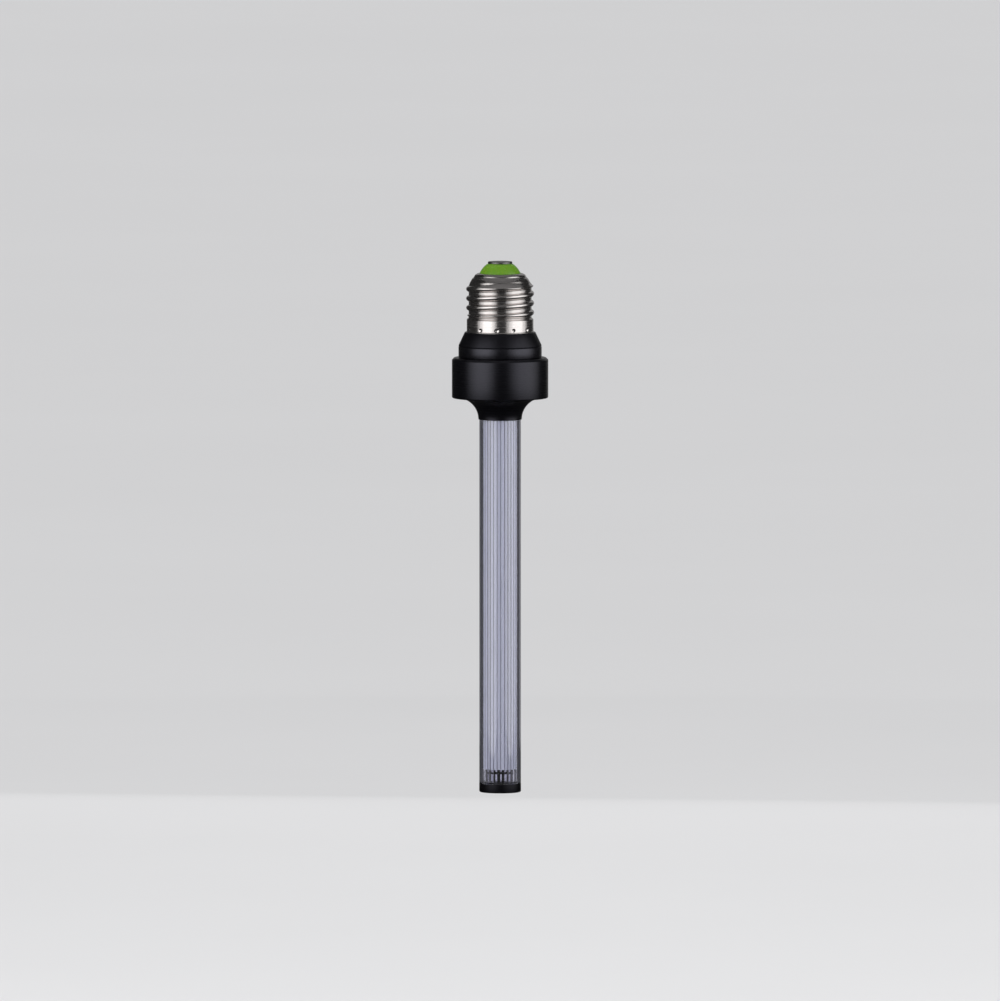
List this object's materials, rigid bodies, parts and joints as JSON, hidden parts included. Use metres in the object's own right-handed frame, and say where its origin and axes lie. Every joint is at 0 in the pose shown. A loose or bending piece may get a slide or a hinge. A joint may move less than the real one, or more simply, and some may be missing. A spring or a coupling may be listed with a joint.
{
  "type": "decorative led bulb",
  "caption": "Slim tube-shaped LED lamp with an E27 screw cap, black two-step collar, wide turned ring with a hollow flare, clear tube over a fluted light guide, and black end cap.",
  "frame": {"origin": "middle of the centre contact's outer face, at the cap end of the lamp", "axes": "+Z along the lamp's axis, out of the cap end; the lamp hangs below the origin, cap up as pictured; -Y faces the picture's camera"},
  "size_m": [0.0372, 0.0372, 0.2051],
  "materials": {
    "nickel_plate": "bright nickel plate on rolled sheet",
    "green_insulator": "moulded green insulator, satin",
    "black_moulding": "black moulding, satin",
    "black_anodised": "turned, black anodised, satin",
    "clear_tube": "clear polished",
    "clear_guide": "clear fluted light guide, polished",
    "pale_diffuser": "pale lavender diffusing rod",
    "black_film": "black, matt",
    "black_rubber": "black rubber",
    "grey_pad": "soft thermal pad",
    "white_board": "metal-core board with white solder mask",
    "led_package": "white package with yellow phosphor",
    "bright_screw": "zinc-plated steel",
    "natural_liner": "natural plastic",
    "circuit_board": "green solder mask on glass-filled board",
    "capacitor_sleeve": "aluminium can in a dark sleeve",
    "ferrite": "ferrite",
    "copper_wire": "enamelled copper",
    "resistor_body": "lacquered resistor",
    "chip_moulding": "black moulded package, tinned pins",
    "brown_wire": "insulated wire",
    "blue_wire": "insulated wire",
    "red_wire": "insulated wire",
    "black_wire": "insulated wire"
  },
  "bodies": {
    "root": {"centre_contact": "nickel_plate", "screw_shell": "nickel_plate", "cap_insulator": "green_insulator", "collar": "black_moulding", "heat_sink": "black_anodised", "end_cap": "black_anodised", "outer_tube": "clear_tube", "fluted_guide": "clear_guide", "light_core": "pale_diffuser", "centring_disc": "black_film", "tube_ring": "black_rubber", "thermal_pad": "grey_pad", "led_board": "white_board", "leds": "led_package", "board_screws": "bright_screw", "insulating_liner": "natural_liner", "driver_board": "circuit_board", "input_capacitor": "capacitor_sleeve", "output_capacitor": "capacitor_sleeve", "inductor_core": "ferrite", "inductor_winding": "copper_wire", "fuse_resistor": "resistor_body", "bridge_rectifier": "chip_moulding", "driver_chip": "chip_moulding", "output_diode": "chip_moulding", "live_lead": "brown_wire", "neutral_lead": "blue_wire", "led_lead_positive": "red_wire", "led_lead_negative": "black_wire"}
  },
  "joints": []
}
